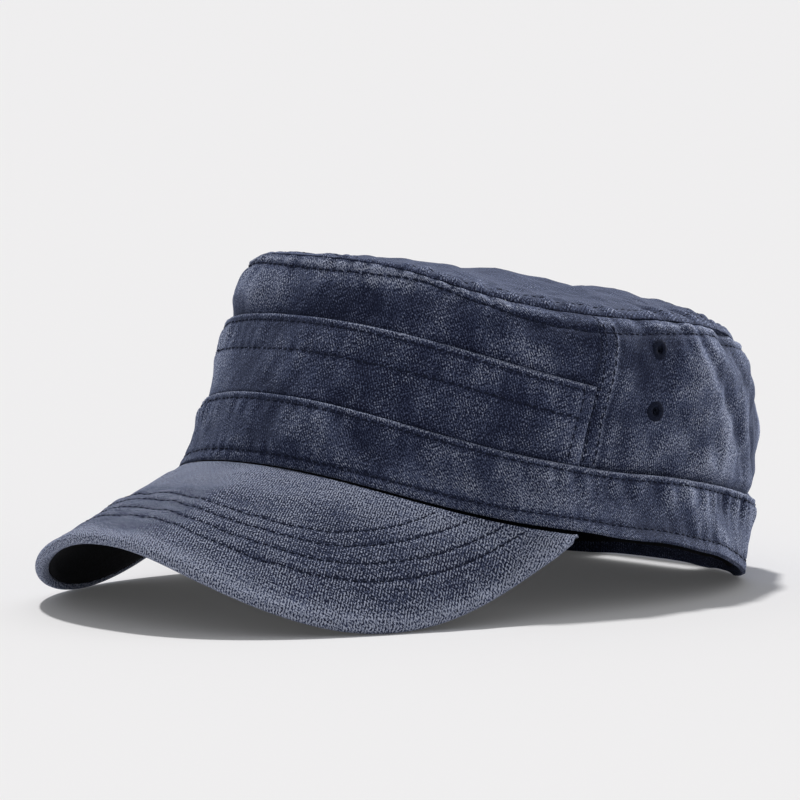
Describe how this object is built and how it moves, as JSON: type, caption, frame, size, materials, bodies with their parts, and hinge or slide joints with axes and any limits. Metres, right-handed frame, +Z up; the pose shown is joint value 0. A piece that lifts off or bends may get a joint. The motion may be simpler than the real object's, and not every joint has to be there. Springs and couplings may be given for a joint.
{
  "type": "cadet cap",
  "caption": "Soft cloth cadet cap with a low flat-topped crown, a deep head band, a strip across the front wall and a curved peak.",
  "frame": {"origin": "middle of the cap's box, on the surface that it rests on", "axes": "-Y towards the front of the peak, +X towards the wearer's left, +Z up from the surface"},
  "size_m": [0.1758, 0.2694, 0.1156],
  "materials": {
    "denim": "washed navy denim twill",
    "denim_worn": "faded navy denim twill",
    "lining": "plain near-black cloth",
    "thread": "dark navy stitching"
  },
  "bodies": {
    "root": {"head_band": "denim", "front_panel": "denim", "front_strip": "denim", "back_panel": "denim", "top_panel": "denim", "sweatband": "lining", "peak_top": "denim_worn", "peak_under": "lining", "eyelet_left_upper": "thread", "eyelet_left_lower": "thread", "eyelet_right_upper": "thread", "eyelet_right_lower": "thread"}
  },
  "joints": []
}
